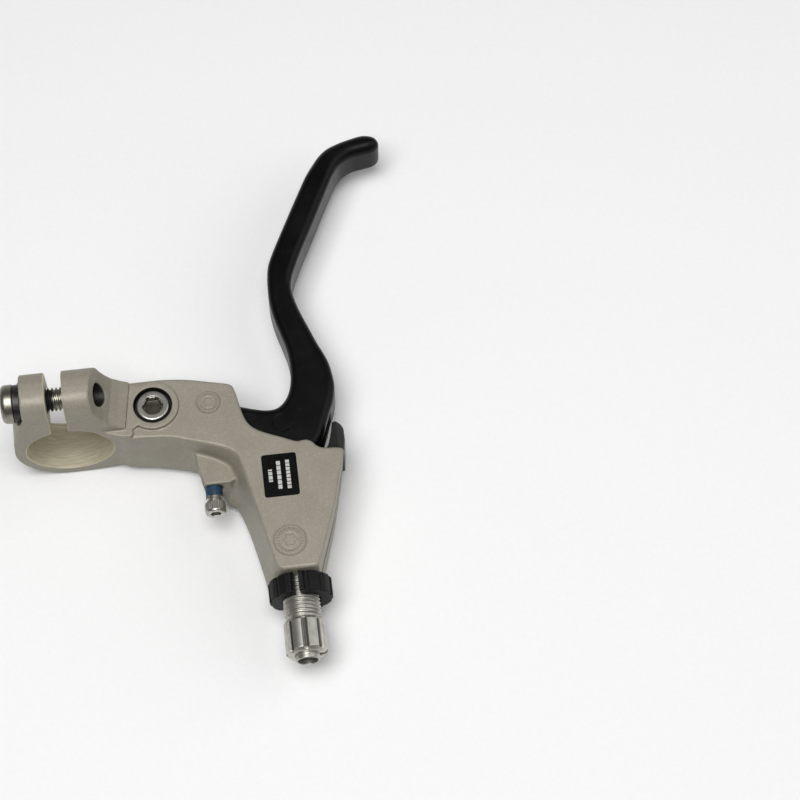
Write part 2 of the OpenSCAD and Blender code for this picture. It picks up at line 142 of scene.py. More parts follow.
def smooth_loop(points, steps=4):
    """Closed Catmull-Rom curve through the points."""
    p1 = np.array(points, float)
    p0, p2, p3 = np.roll(p1, 1, 0), np.roll(p1, -1, 0), np.roll(p1, -2, 0)
    rows = []
    for k in range(steps):
        t = k / steps
        rows.append(0.5 * (2 * p1 + (p2 - p0) * t + (2 * p0 - 5 * p1 + 4 * p2 - p3) * t * t
                           + (3 * p1 - p0 - 3 * p2 + p3) * t ** 3))
    return np.stack(rows, 1).reshape(-1, 2)


def polygon(points, u, v):
    """Signed distance to a closed polygon."""
    points = np.array(points, float)
    nearest, inside = 1e12, False
    for a, b in zip(points, np.roll(points, -1, 0)):
        e = b - a
        if not e.any():
            continue
        wu, wv = u - a[0], v - a[1]
        t = np.clip((wu * e[0] + wv * e[1]) / (e @ e), 0, 1)
        nearest = np.minimum(nearest, (wu - e[0] * t) ** 2 + (wv - e[1] * t) ** 2)
        straddles = (a[1] <= v) != (b[1] <= v)
        inside = inside ^ (straddles & ((e[0] * wv - e[1] * wu > 0) == (e[1] > 0)))
    return np.sqrt(nearest) * np.where(inside, -1, 1)


def disc(u, v, centre, radius):
    return np.hypot(u - centre[0], v - centre[1]) - radius


def span(t, low, high):
    return np.abs(t - (low + high) / 2) - (high - low) / 2


def both(a, b, r=0.0):
    """Intersection with its edge rounded by r."""
    if np.all(r == 0):
        return np.maximum(a, b)
    return (np.minimum(np.maximum(a, b), -r)
            + np.hypot(np.maximum(a + r, 0), np.maximum(b + r, 0)))


def either(a, b, r=0.0):
    """Union with a fillet of radius r."""
    return -both(-a, -b, r)


def without(a, b, r=0.0):
    """a with b cut away, the cut's rim rounded by r."""
    return both(a, -b, r)


def fold(angle, count, offset=0.0):
    """Angle within one of count equal sectors, measured from the sector's middle."""
    sector = 2 * math.pi / count
    return np.mod(angle - offset + sector / 2, sector) - sector / 2


def hexagon(u, v, across):
    angle = fold(np.arctan2(v, u), 6)
    return np.hypot(u, v) * np.cos(angle) - across / 2


def screw_thread(radius, angle, along, crest, depth, pitch):
    """Helical thread with flat crests and roots."""
    phase = np.mod(along / pitch - angle / (2 * math.pi), 1.0)
    ridge = np.clip(2.2 * np.abs(2 * phase - 1) - 0.6, 0, 1)
    return (radius - crest + depth * (1 - ridge)) * 0.85


def ripple(x, y, z, scale, seed=0.0):
    """Gentle repeatable unevenness between -1 and 1."""
    a = np.sin(x * scale + 1.7 * seed + 1.3 * np.sin(y * scale * 0.7 + seed))
    b = np.sin(y * scale * 1.1 + 2.3 * seed + 1.1 * np.sin(z * scale * 0.9))
    c = np.sin(z * scale * 0.9 + 0.6 * seed + 1.2 * np.sin(x * scale * 0.8))
    return (a + b + c) / 3


# ---------------------------------------------------------------- meshes

def link(name, verts, faces, body, material, normals=None):
    """New piece from metres, riding on a body, with the given material."""
    mesh = bpy.data.meshes.new(name)
    mesh.from_pydata([tuple(v) for v in verts.tolist()], [], faces)
    mesh.update()
    mesh.polygons.foreach_set("use_smooth", [True] * len(mesh.polygons))
    if normals is not None:
        mesh.normals_split_custom_set_from_vertices([tuple(n) for n in normals.tolist()])
    mesh.materials.append(material)
    piece = bpy.data.objects.new(name, mesh)
    bpy.context.scene.collection.objects.link(piece)
    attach(piece, body)
    return piece


def gradient(field, p, reach):
    """Value and slope of the field at the points p."""
    here = field(*p.T)
    slope = np.stack([field(*(p + reach * step).T) - here for step in np.eye(3)], 1) / reach
    return here, slope


def carve(name, low, high, cell, field, body, material, replaces=()):
    """Piece bounded by field == 0 between the corners low and high."""
    axes = [np.arange(low[i] - 2 * cell, high[i] + 3 * cell, cell, dtype=np.float32)
            for i in range(3)]
    x, y, z = axes[0][:, None, None], axes[1][None, :, None], axes[2][None, None, :]
    values = np.broadcast_to(field(x, y, z), [len(a) for a in axes])
    grid = vdb.FloatGrid(background=10 * cell)
    grid.copyFromArray(np.array(values, dtype=np.float32))
    points, triangles, quads = grid.convertToPolygons(isovalue=0.0, adaptivity=0.0)
    verts = points.astype(float) * cell + np.array([a[0] for a in axes], float)
    # settle each point on the true surface
    here, slope = gradient(field, verts, 0.1 * cell)
    push = np.clip(here / np.maximum((slope ** 2).sum(1), 0.05), -0.5 * cell, 0.5 * cell)
    verts -= slope * push[:, None]
    here, slope = gradient(field, verts, 0.1 * cell)
    normals = slope / np.maximum(np.linalg.norm(slope, axis=1), 1e-9)[:, None]
    faces = quads.tolist() + triangles.tolist()
    first = verts[quads[:, 0]]
    facing = np.cross(verts[quads[:, 1]] - first, verts[quads[:, 2]] - first)
    if (facing * normals[quads[:, 0]]).sum() < 0:
        faces = [f[::-1] for f in faces]
    piece = link(name, verts * MM, faces, body, material, normals)
    if replaces:
        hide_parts(*replaces)
    return piece


# ---------------------------------------------------------------- materials

class Shader:
    """A Principled material with short calls for its nodes."""

    def __init__(self, name, **constants):
        self.material = bpy.data.materials.new(name)
        self.material.use_nodes = True
        self.tree = self.material.node_tree
        self.tree.nodes.clear()
        self.surface = self.tree.nodes.new("ShaderNodeBsdfPrincipled")
        out = self.tree.nodes.new("ShaderNodeOutputMaterial")
        self.tree.links.new(self.surface.outputs[0], out.inputs["Surface"])
        self.place = self.tree.nodes.new("ShaderNodeTexCoord").outputs["Object"]
        for key, value in constants.items():
            self.surface.inputs[key.replace("_", " ")].default_value = value

    def add(self, kind, inputs=(), **settings):
        node = self.tree.nodes.new(kind)
        for key, value in settings.items():
            setattr(node, key, value)
        for key, value in dict(inputs).items():
            if isinstance(value, bpy.types.NodeSocket):
                self.tree.links.new(value, node.inputs[key])
            else:
                node.inputs[key].default_value = value
        return node

    def math(self, operation, *values):
        return self.add("ShaderNodeMath", enumerate(values), operation=operation).outputs[0]

    def noise(self, scale, detail=3.0, roughness=0.55, place=None):
        return self.add("ShaderNodeTexNoise", {
            "Vector": place or self.place, "Scale": scale, "Detail": detail,
            "Roughness": roughness}).outputs["Fac"]

    def cells(self, scale):
        return self.add("ShaderNodeTexVoronoi", {
            "Vector": self.place, "Scale": scale}).outputs["Color"]

    def stretched(self, x, y, z):
        return self.add("ShaderNodeMapping", {
            "Vector": self.place, "Scale": (x, y, z)}).outputs[0]

    def parts(self):
        return self.add("ShaderNodeSeparateXYZ", {0: self.place}).outputs

    def off_axis(self, a, b, centre=(0.0, 0.0)):
        """Distance in metres from an axis that crosses a and b at centre."""
        u = self.math("SUBTRACT", a, centre[0] * MM)
        v = self.math("SUBTRACT", b, centre[1] * MM)
        squares = self.math("ADD", self.math("MULTIPLY", u, u), self.math("MULTIPLY", v, v))
        return self.math("SQRT", squares)

    def ramp(self, value, low, high, to_low=0.0, to_high=1.0):
        return self.add("ShaderNodeMapRange", {
            "Value": value, "From Min": low, "From Max": high,
            "To Min": to_low, "To Max": to_high}).outputs[0]

    def blend(self, fac, a, b):
        node = self.add("ShaderNodeMix", data_type="RGBA")
        for socket, value in zip((node.inputs[0], node.inputs[6], node.inputs[7]), (fac, a, b)):
            if isinstance(value, bpy.types.NodeSocket):
                self.tree.links.new(value, socket)
            else:
                socket.default_value = value if isinstance(value, float) else (*value, 1.0)
        return node.outputs[2]

    def set(self, name, socket):
        self.tree.links.new(socket, self.surface.inputs[name])
        return self

    def bump(self, height, strength, distance):
        node = self.add("ShaderNodeBump", {
            "Height": height, "Strength": strength, "Distance": distance})
        return self.set("Normal", node.outputs[0])


def cast_paint():
    """Champagne silver paint with fine metal flake; bare cast metal in the clamp bore; painted
    shade, near black, in the tapped hole and the gap round the pivot's head.
    """
    s = Shader("cast_paint", Metallic=0.2, Specular_IOR_Level=0.35)
    x, y, z = s.parts()
    flake = s.add("ShaderNodeSeparateColor", {0: s.cells(5200.0)}).outputs[0]
    drift = s.noise(130.0)
    mottle = s.noise(900.0, 5.0, 0.65)
    tone = s.blend(s.ramp(drift, 0.35, 0.65), (0.282, 0.259, 0.206), (0.309, 0.287, 0.232))
    tone = s.blend(s.ramp(mottle, 0.3, 0.7, 0.0, 0.4), tone, (0.255, 0.232, 0.182))
    paint = s.blend(s.ramp(flake, 0.8, 1.0, 0.0, 0.35), tone, (0.50, 0.475, 0.40))
    # bare metal: the bore and the faces of the split
    in_bore = s.ramp(s.off_axis(x, z), (CLAMP_R + 0.22) * MM, (CLAMP_R + 0.3) * MM, 1.0, 0.0)
    middle = (SPLIT[0] + SPLIT[1]) / 2
    half = (SPLIT[1] - SPLIT[0]) / 2
    off = s.math("ABSOLUTE", s.math("SUBTRACT", x, middle * MM))
    in_split = s.math("MULTIPLY", s.ramp(off, (half + 0.16) * MM, (half + 0.24) * MM, 1.0, 0.0),
                      s.ramp(z, 9.0 * MM, 9.4 * MM))
    bare = s.math("MAXIMUM", in_bore, in_split)
    # painted shade: the tapped hole and the gap round the pivot's head are coloured near black
    # where shade falls
    off_bolt = s.off_axis(y, z, (0, BOLT_Z))
    tapped_hole_shade = s.math("MULTIPLY", s.ramp(off_bolt, 3.0 * MM, 3.12 * MM, 1.0, 0.0),
                    s.math("GREATER_THAN", x, 1.0 * MM))
    marks = s.noise(1.0, 4.0, 0.65, s.stretched(240.0, 3600.0, 240.0))
    metal = s.blend(s.ramp(marks, 0.3, 0.7), (0.42, 0.375, 0.265), (0.66, 0.61, 0.47))
    off_pivot = s.off_axis(x, y, PIVOT)
    sunk_shade = s.math("MULTIPLY", s.math("LESS_THAN", off_pivot, (PIVOT_SEAT_R + 0.1) * MM),
                  s.math("LESS_THAN", z, (PIVOT_TOP + 0.05) * MM))
    # dark is the mask of this painted shade, not a colour of the casting
    dark = s.math("MAXIMUM", tapped_hole_shade, sunk_shade)
    s.set("Base Color", s.blend(dark, s.blend(bare, paint, metal), (0.014, 0.013, 0.011)))
    rough = s.ramp(flake, 0.0, 1.0, 0.40, 0.52)
    s.set("Roughness", s.math("ADD", rough, s.ramp(mottle, 0.3, 0.7, -0.05, 0.07)))
    grain = s.math("ADD", s.math("MULTIPLY", flake, 0.35), mottle)
    height = s.math("ADD", grain, s.math("MULTIPLY", s.math("MULTIPLY", bare, marks), 2.0))
    return s.bump(height, 0.4, 0.00008).material


def blade_paint():
    """Satin black coat, slightly uneven, with faint rubbed patches."""
    s = Shader("blade_paint", Specular_IOR_Level=0.16)
    fine = s.noise(2600.0, 2.0)
    wave = s.noise(90.0, 2.0)
    rub = s.noise(420.0, 5.0, 0.7)
    tone = s.blend(s.ramp(wave, 0.35, 0.65), (0.0026, 0.0030, 0.0026), (0.0042, 0.0046, 0.0042))
    s.set("Base Color", s.blend(s.ramp(rub, 0.62, 0.8, 0.0, 0.5), tone, (0.014, 0.014, 0.013)))
    s.set("Roughness", s.math("ADD", s.ramp(wave, 0.3, 0.7, 0.30, 0.38),
                              s.ramp(rub, 0.5, 0.8, 0.0, 0.12)))
    return s.bump(fine, 0.22, 0.00004).material


def plated_steel(name="steel", recess=None):
    """Bright zinc plate with fine turning marks and stains, with painted shade darkening the
    inside of a driver recess.
    """
    s = Shader(name, Metallic=0.95)
    fine = s.noise(3800.0, 3.0)
    stain = s.noise(520.0, 4.0, 0.6)
    tone = s.blend(s.ramp(stain, 0.35, 0.7), (0.56, 0.55, 0.51), (0.36, 0.35, 0.31))
    # painted shade: the inside of the driver recess is coloured dark
    if recess:
        axis, radius, rim = recess
        x, y, z = s.parts()
        inside = s.math("MULTIPLY", s.math("LESS_THAN", s.off_axis(x, y, axis), radius * MM),
                        s.ramp(z, (rim - 0.5) * MM, rim * MM, 1.0, 0.0))
        tone = s.blend(inside, tone, (0.10, 0.095, 0.075))
    s.set("Base Color", tone)
    s.set("Roughness", s.math("ADD", s.ramp(stain, 0.3, 0.7, 0.26, 0.40),
                              s.ramp(fine, 0.3, 0.7, -0.03, 0.03)))
    return s.bump(fine, 0.25, 0.00003).material


def bolt_steel():
    """The clamp bolt: plated steel, with black thread-lock on half of the open thread."""
    s = Shader("bolt_steel", Metallic=0.9)
    x, y, z = s.parts()
    stain = s.noise(600.0, 4.0, 0.6)
    fine = s.noise(4000.0, 3.0)
    edge = s.math("ADD", x, s.ramp(stain, 0.3, 0.7, -0.4 * MM, 0.4 * MM))
    lock = s.math("MULTIPLY", s.ramp(edge, -1.9 * MM, -1.6 * MM, 1.0, 0.0),
                  s.ramp(edge, -4.6 * MM, -4.3 * MM))
    steel = s.blend(s.ramp(stain, 0.35, 0.7), (0.32, 0.31, 0.26), (0.20, 0.19, 0.155))
    s.set("Base Color", s.blend(lock, steel, (0.03, 0.03, 0.032)))
    s.set("Roughness", s.math("ADD", s.ramp(stain, 0.3, 0.7, 0.28, 0.40),
                              s.math("MULTIPLY", lock, 0.3)))
    return s.bump(fine, 0.25, 0.00003).material


def turned_alloy():
    """Satin turned aluminium with rings of tool marks along Y, with painted shade darkening the
    grooves.
    """
    s = Shader("turned_alloy", Metallic=0.95)
    rings = s.noise(1.0, 2.0, 0.6, s.stretched(120.0, 6500.0, 120.0))
    stain = s.noise(420.0, 4.0, 0.6)
    x, y, z = s.parts()
    # painted shade: the grooves between the ribs of the head are coloured near black, deeper
    # means darker
    on_head = s.math("MULTIPLY", s.math("LESS_THAN", y, (HEAD_ENDS[1] - 0.7) * MM),
                     s.math("GREATER_THAN", y, (HEAD_ENDS[0] + 0.8) * MM))
    sunk_shade = s.ramp(s.off_axis(x, z, (BARREL_X, Z_MID)), (HEAD_R - 0.6) * MM,
                  (HEAD_R - 0.2) * MM, 0.85, 0.0)
    groove_shade = s.math("MULTIPLY", on_head, sunk_shade)
    skin = s.blend(s.ramp(stain, 0.35, 0.7), (0.55, 0.54, 0.49), (0.39, 0.38, 0.34))
    s.set("Base Color", s.blend(groove_shade, skin, (0.05, 0.05, 0.046)))
    s.set("Roughness", s.math("ADD", s.ramp(stain, 0.3, 0.7, 0.36, 0.46),
                              s.ramp(rings, 0.3, 0.7, -0.03, 0.04)))
    return s.bump(rings, 0.3, 0.00003).material


def dark_steel():
    """Black oxide with brown-grey clouding."""
    s = Shader("dark_steel", Metallic=0.6)
    cloud = s.noise(700.0, 4.0, 0.6)
    s.set("Base Color", s.blend(s.ramp(cloud, 0.35, 0.65), (0.022, 0.021, 0.02),
                                (0.05, 0.047, 0.043)))
    s.set("Roughness", s.ramp(cloud, 0.3, 0.7, 0.34, 0.5))
    return s.bump(s.noise(3600.0), 0.3, 0.00003).material


def moulded(name, light, dark, rough, texture, gloss=0.5):
    """Injection-moulded plastic with a fine spark texture."""
    s = Shader(name, Specular_IOR_Level=gloss)
    cloud = s.noise(300.0, 3.0)
    spark = s.noise(texture, 3.0, 0.7)
    s.set("Base Color", s.blend(s.ramp(cloud, 0.35, 0.65), light, dark))
    s.set("Roughness", s.ramp(spark, 0.3, 0.7, rough - 0.06, rough + 0.08))
    return s.bump(spark, 0.4, 0.00005).material


def bronze():
    """Sintered bearing bronze with open pores."""
    s = Shader("bronze", Metallic=0.9)
    pores = s.noise(5200.0, 4.0, 0.7)
    s.set("Base Color", s.blend(s.ramp(pores, 0.4, 0.7), (0.50, 0.31, 0.13), (0.24, 0.14, 0.06)))
    s.set("Roughness", s.ramp(pores, 0.3, 0.7, 0.32, 0.55))
    return s.bump(pores, 0.5, 0.00004).material


def blue_patch():
    """Dried blue thread-locking compound, thin and powdery over the thread."""
    s = Shader("blue_patch")
    crumbs = s.noise(2400.0, 5.0, 0.7)
    tone = s.blend(s.ramp(crumbs, 0.3, 0.55), (0.004, 0.015, 0.036), (0.009, 0.042, 0.095))
    s.set("Base Color", s.blend(s.ramp(crumbs, 0.58, 0.75), tone, (0.04, 0.085, 0.13)))
    s.set("Roughness", s.ramp(crumbs, 0.3, 0.7, 0.45, 0.75))
    return s.bump(crumbs, 0.7, 0.00012).material


LABEL_CENTRE = (52.5, -23.1)
LABEL_HALF = (4.4, 5.8)


def label_print():
    """Black label with three rows of plain blocks, no lettering."""
    s = Shader("label_print", Specular_IOR_Level=0.12)
    x, y, z = s.parts()
    off_y = s.math("ABSOLUTE", s.math("SUBTRACT", y, LABEL_CENTRE[1] * MM))
    ink = 0.0
    for row_x, half_length, block in ((-2.5, 1.7, 1.15), (-0.3, 3.9, 1.3), (2.0, 3.9, 1.0)):
        near = s.math("ABSOLUTE", s.math("SUBTRACT", x, (LABEL_CENTRE[0] + row_x) * MM))
        row = s.math("MULTIPLY", s.math("LESS_THAN", near, 0.5 * MM),
                     s.math("LESS_THAN", off_y, half_length * MM))
        gap = s.math("PINGPONG", off_y, block / 2 * MM)
        row = s.math("MULTIPLY", row, s.math("GREATER_THAN", gap, 0.1 * MM))
        ink = s.math("MAXIMUM", ink, row)
    wear = s.noise(1800.0, 4.0, 0.6)
    ink = s.math("MULTIPLY", ink, s.ramp(wear, 0.3, 0.55, 0.7, 1.0))
    ground = s.blend(s.ramp(wear, 0.3, 0.7), (0.002, 0.002, 0.002), (0.004, 0.004, 0.004))
    s.set("Base Color", s.blend(ink, ground, (0.55, 0.55, 0.53)))
    s.set("Roughness", s.ramp(wear, 0.3, 0.7, 0.28, 0.4))
    return s.bump(wear, 0.15, 0.00003).material


def paper():
    """Seamless white sweep under the lever."""
    s = Shader("paper", Roughness=0.9)
    tooth = s.noise(900.0, 3.0)
    s.set("Base Color", s.blend(s.ramp(tooth, 0.3, 0.7), (0.90, 0.90, 0.90), (0.92, 0.92, 0.92)))
    return s.bump(tooth, 0.05, 0.00005).material


CAST = cast_paint()
BLACK_COAT = blade_paint()
STEEL = plated_steel()
PIVOT_STEEL = plated_steel("pivot_steel", (PIVOT, RECESS_R + 0.15, PIVOT_TOP - 0.1))
BOLT = bolt_steel()
ALLOY = turned_alloy()
DARK = dark_steel()
BRONZE = bronze()
BLUE = blue_patch()
RING_PLASTIC = moulded("ring_plastic", (0.0035, 0.0035, 0.0035), (0.007, 0.007, 0.007),
                       0.5, 3200.0, 0.2)
COVER_PLASTIC = moulded("cover_plastic", (0.007, 0.0066, 0.006), (0.012, 0.0112, 0.01),
                        0.34, 2400.0, 0.4)
NYLON = moulded("nylon", (0.74, 0.73, 0.69), (0.66, 0.65, 0.60), 0.5, 2800.0)
LABEL = label_print()


# ---------------------------------------------------------------- bracket

NEAR_LOOP = smooth_loop(NEAR_POINTS)
FAR_LOOP = smooth_loop(FAR_POINTS)
CLAMP_PROFILE = CLAMP_LEFT + arc((0, 0), 14.1, 180, 268, 22) + CLAMP_RIGHT
STEP_OUTLINE = ([(8, 6.4), (8, -6.4), (13.5, -8.3), (16.2, -8.6)]
                + arc((15.6, -7.4), 1.2, -60, 40, 4)
                + [(18.2, -5.6), (20, -4), (20, 5), (16.4, 6.4)])
CHANNEL = (arc(PIVOT, 6.3, 90, 270, 24)
           + [(27, -7.3), (31, -8.6), (36, -10.3), (40, -12.2), (42.6, -14.6), (45, -18.6),
              (64.2, -18.6), (64.2, -12), (75, -12), (75, 15), (22.2, 15)])


def bracket_field(x, y, z):
    rise = np.clip((z - Z_FAR) / (Z_NEAR - Z_FAR), 0, 1)
    outline = polygon(FAR_LOOP, x, y) * (1 - rise) + polygon(NEAR_LOOP, x, y) * rise
    arm = both(outline, span(z, Z_FAR, Z_NEAR), 0.7)
    corner = CLAMP_HALF - 5
    width = np.hypot(np.maximum(np.abs(y) - corner, 0), np.maximum(z - BOLT_Z - corner, 0)) - 5
    width = width + 0.45 * np.clip((z - 12) / 2.6, 0, 1) * np.clip(-y / 4, 0, 1)
    turned = math.radians(8.5)
    back = polygon(EAR_BACK, x * math.cos(turned) - y * math.sin(turned), z)
    clamp = both(both(polygon(CLAMP_PROFILE, x, z), back, 0.4), width, 0.5)
    body = either(arm, clamp, 0.9)
    step = np.minimum(polygon(STEP_OUTLINE, x, y), disc(x, y, PIVOT, 6.6))
    body = either(body, both(step, span(z, 6, STEP_TOP), 0.35), 0.25)
    boss = both(polygon(REACH_BOSS, x, y), span(z, Z_MID - 3.2, Z_MID + 3.2), 0.5)
    body = either(body, boss, 0.8)
    # handlebar bore, split and clamp bolt
    body = without(body, np.hypot(x, z) - CLAMP_R, 0.3)
    body = without(body, both(span(x, *SPLIT), 3 - z), 0.3)
    round_bolt = np.hypot(y, z - BOLT_Z)
    body = without(body, both(round_bolt - 3.3, x + 3), 0.15)
    body = without(body, both(round_bolt - 5.5, x + 9.95), 0.15)
    body = without(body, both(round_bolt - 3.0, -x), 0.35)
    # channel for the blade, seat of the nose cover
    deep = span(z, SLOT_FAR, SLOT_NEAR)
    body = without(body, both(polygon(CHANNEL, x, y), deep, 0.4), 0.3)
    seat = np.minimum(both(span(x, 64.2, 66.8), span(y, -18.5, -10)),
                      both(span(x, 64.2, 80), span(y, -17, -10)))
    body = without(body, both(seat, deep), 0.15)
    # pivot counterbore, shank hole and nut seat
    around = disc(x, y, PIVOT, 0)
    body = without(body, both(around - PIVOT_SEAT_R, 6.2 - z), 0.2)
    body = without(body, around - 2.55)
    body = without(body, both(around - 4.65, z + 9.6), 0.2)
    # reach screw
    reach = disc(x, z, (REACH_X, Z_MID), 0)
    body = without(body, both(reach - 2.06, y + 8))
    body = without(body, both(reach - 2.45, y + 17.1), 0.2)
    # cable adjuster: thread, cable way and open slot
    barrel = disc(x, z, (BARREL_X, Z_MID), 0)
    body = without(body, both(barrel - THREAD_R - 0.08, y + 31), 0.2)
    body = without(body, both(barrel - 1.6, y + 18))
    way = both(np.abs(z - Z_MID) - 1.3, BARREL_X - x)
    return without(body, both(way, y + 15), 0.15)


def badge(name, centre, radius):
    """Raised seal: rim, ring of short ticks and a small hub."""
    rings, spokes = 40, 224
    r = np.linspace(0, 1, rings)[:, None]
    a = np.linspace(0, 2 * math.pi, spokes, endpoint=False)[None, :]

    def band(low, high, soft=0.03):
        return np.clip((r - low) / soft, 0, 1) * np.clip((high - r) / soft, 0, 1)

    ticks = np.clip(3.0 * np.cos(28 * a) + 0.6, 0, 1) * band(0.60, 0.80)
    star = band(-1, 0.36 + 0.06 * np.cos(6 * a), 0.05)
    height = 0.36 * (band(0.88, 0.99) + band(0.49, 0.53) + 0.8 * ticks + 0.8 * star)
    height = np.where(r > 0.995, -0.1, height + 0.015)
    x = centre[0] + radius * r * np.cos(a)
    y = centre[1] + radius * r * np.sin(a)
    verts = np.stack([x, y, Z_NEAR + height + 0 * a], -1).reshape(-1, 3) * MM
    faces = [(i * spokes + j, (i + 1) * spokes + j, (i + 1) * spokes + (j + 1) % spokes,
              i * spokes + (j + 1) % spokes)
             for i in range(rings - 1) for j in range(spokes)]
    return link(name, verts, faces, "bracket", CAST)


def label():
    """Thin flat label with rounded corners."""
    corner, thick, steps = 0.7, 0.14, 8
    rim = []
    for sx, sy, start in ((1, 1, 0), (-1, 1, 90), (-1, -1, 180), (1, -1, 270)):
        centre = (LABEL_CENTRE[0] + sx * (LABEL_HALF[0] - corner),
                  LABEL_CENTRE[1] + sy * (LABEL_HALF[1] - corner))
        rim += arc(centre, corner, start, start + 90, steps)
    rim = np.array(rim)
    count = len(rim)
    middle = np.array(LABEL_CENTRE)
    rings = [(1.0, 0.0), (1.0, thick - 0.03), (0.993, thick), (0.6, thick + 0.005),
             (0.25, thick + 0.005), (0.0, thick + 0.005)]
    verts = np.vstack([np.column_stack([middle + (rim - middle) * k,
                                        np.full(count, Z_NEAR + h)]) for k, h in rings])
    faces = [(i * count + j, i * count + (j + 1) % count, (i + 1) * count + (j + 1) % count,
              (i + 1) * count + j) for i in range(len(rings) - 1) for j in range(count)]
    piece = link("label_face", verts * MM, faces, "bracket", LABEL)
    piece.data.polygons.foreach_set("use_smooth", [False] * len(faces))
    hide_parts("label_plate")


def cover_field(x, y, z):
    outline = ([(64.4, -18.4), (64.4, -16)] + arc(PIVOT, 45.5, -18.6, -10.5, 8)
               + [(67.7, -8.5)] + arc((67.8, -10.5), 2, 80, 5, 5)
               + [(69.8, -13), (69.2, -16.9), (66.6, -16.9), (66.6, -18.4)])
    shell = both(polygon(outline, x, y), span(z, SLOT_FAR + 0.1, SLOT_NEAR - 0.1), 0.3)
    shell = both(shell, (x + z - 72.8) / math.sqrt(2), 0.3)
    return without(shell, both(np.abs(z - Z_MID) - 1.3, both(x - 68, y + 12)), 0.15)


carve("bracket_casting", (-14.2, -48.4, -14.2), (69.2, 7.1, 23.9), 0.372, bracket_field,
      "bracket", CAST, ["bracket_body"])
badge("seal_small", (36.3, -0.85), 3.2)
badge("seal_large", (53.2, -40.8), 4.3)
label()
carve("nose_cover_shell", (64.3, -18.5, -8.5), (69.9, -8.4, 5), 0.14, cover_field,
      "bracket", COVER_PLASTIC, ["nose_cover"])


# ---------------------------------------------------------------- blade

BLADE_LOOP = smooth_loop(BLADE_BAR_SIDE + arc(PIVOT, 5.5, 80, 270, 7) + BLADE_FINGER_SIDE)


def blade_field(x, y, z):
    tall = span(z, Z_MID - BLADE_HALF, Z_MID + BLADE_HALF)
    crown = 2.0 + 0.65 * np.clip((y - 64) / 7, 0, 1)
    blade = both(polygon(BLADE_LOOP, x, y), tall, crown)
    around = disc(x, y, PIVOT, 0)
    blade = either(blade, both(around - 4.7, tall, 0.2), 0.2)
    blade = without(blade, around - 3.25, 0.15)
    spring_room = both(span(around, 4.1, 6.1), z + 3.6)
    blade = without(blade, spring_room)
    # fork for the cable anchor, and its pin
    fork = both(both(46.6 - x, y + 4), np.abs(z - Z_MID) - 3.1)
    blade = without(blade, fork, 0.25)
    blade = without(blade, disc(x, y, PIN, 1.5))
    return without(blade, both(disc(x, z, (REACH_X, Z_MID), 2.2), y + 4.9))


carve("blade_shell", (16.6, -16.1, -7.8), (88.2, 77, 4.3), 0.28, blade_field,
      "blade", BLACK_COAT, ["lever_blade"])


# ---------------------------------------------------------------- screws

def clamp_bolt_field(x, y, z):
    radius, angle = np.hypot(y, z - BOLT_Z), np.arctan2(z - BOLT_Z, y)
    head = both(radius - 4.9, -14.87 - x, 1.35)
    head = both(head, x + 11.87, 0.15)
    shank = both(screw_thread(radius, angle, x, 2.95, 0.5, 1.0), span(x, -12, 6.2), 0.25)
    bolt = np.minimum(head, shank)
    socket = both(hexagon(y, z - BOLT_Z, 5.02), x + 12.2)
    return without(bolt, socket, 0.15)


def washer_field(x, y, z):
    radius = np.hypot(y, z - BOLT_Z)
    return without(both(radius - 4.7, span(x, -11.85, -9.97), 0.25), radius - 3.05, 0.1)


def lobes(x, y, outer):
    """Six-lobe driver recess."""
    radius, angle = np.hypot(x, y), fold(np.arctan2(y, x), 6)
    lobe = np.hypot(radius * np.cos(angle) - outer * 0.78, radius * np.sin(angle)) - outer * 0.22
    return np.minimum(radius - outer * 0.86, lobe)


def pivot_bolt_field(x, y, z):
    radius = disc(x, y, PIVOT, 0)
    head = both(both(radius - 4.15, z - PIVOT_TOP, 0.5), 6.2 - z, 0.1)
    bolt = np.minimum(head, both(radius - 2.5, span(z, -11.3, 7), 0.3))
    recess = both(lobes(x - PIVOT[0], y - PIVOT[1], RECESS_R), 6.7 - z, 0.1)
    bolt = without(bolt, both(radius - RECESS_R, 8.35 - z, 0.1), 0.1)
    return without(bolt, recess, 0.15)


def pivot_nut_field(x, y, z):
    radius = disc(x, y, PIVOT, 0)
    nut = both(radius - 4.6, span(z, -11.4, -9.6), 0.25)
    nut = without(nut, radius - 2.5, 0.15)
    pins = np.hypot(np.abs(x - PIVOT[0]) - 3.6, y - PIVOT[1]) - 0.55
    return without(nut, both(pins, z + 10.4), 0.1)


def reach_screw_field(x, y, z):
    u, v = x - REACH_X, z - Z_MID
    radius, angle = np.hypot(u, v), np.arctan2(v, u)
    head = both(both(radius - 2.6, -27.7 - y, 0.5), y + 24.7, 0.12)
    knurl = 0.05 * np.cos(30 * angle) * (y > -27.1) * (y < -25)
    shank = both(screw_thread(radius, angle, y, 2.0, 0.35, 0.7), span(y, -25, -8.6), 0.4)
    screw = np.minimum(head + knurl, shank)
    socket = both(hexagon(v, u, 2.51), y + 25.9)
    return without(screw, socket, 0.12)


def reach_patch_field(x, y, z):
    u, v = x - REACH_X, z - Z_MID
    radius = np.hypot(u, v)
    rough = 0.05 * ripple(x, y, z, 4.0) + 0.04 * ripple(x, y, z, 9.0, 2.0)
    ends = span(y, -23.4, -19.7) + 0.5 * ripple(x, y, z, 2.2, 1.0)
    return both(both(radius - 2.13 + rough, 2.02 - radius), ends + 0.25, 0.05)


